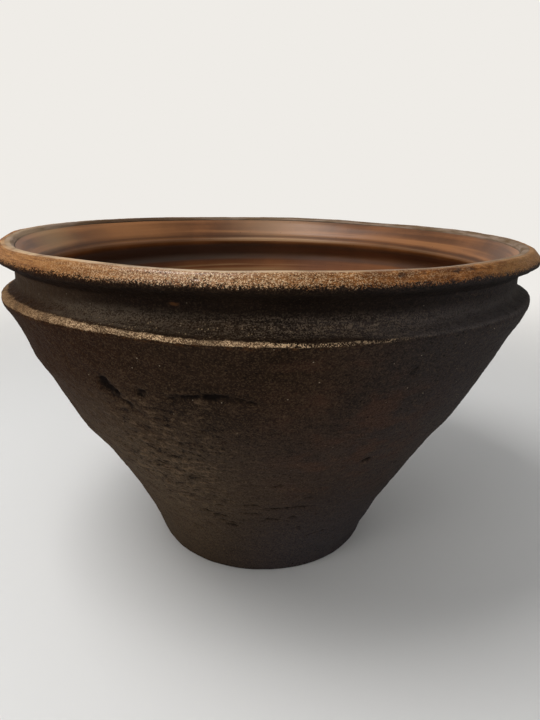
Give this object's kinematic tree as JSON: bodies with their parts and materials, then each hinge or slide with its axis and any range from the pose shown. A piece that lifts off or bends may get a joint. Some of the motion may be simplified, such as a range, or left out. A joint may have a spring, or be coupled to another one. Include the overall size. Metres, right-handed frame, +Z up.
{
  "type": "earthenware basin",
  "caption": "Deep earthenware basin on a narrow flat foot, flaring to a keeled shoulder, a grooved collar and a bevelled rim, glazed inside, for mixing, washing or storing.",
  "frame": {"origin": "centre of the flat face that the basin stands on", "axes": "+Z up the basin's axis of revolution, towards the mouth"},
  "size_m": [0.5059, 0.506, 0.318],
  "materials": {
    "clay": "matte, rough and sandy, dark brown fired clay with soot and drag marks",
    "worn_clay": "half matte, ochre brown clay rubbed bare along the rim, with dark specks",
    "glaze": "satin, thin reddish brown glaze over throwing rings"
  },
  "bodies": {
    "root": {"floor_dish": "clay", "foot_wall": "clay", "lower_wall": "clay", "middle_wall": "clay", "upper_wall": "clay", "shoulder": "clay", "collar": "clay", "rim": "worn_clay", "glaze_lining": "glaze"}
  },
  "joints": []
}
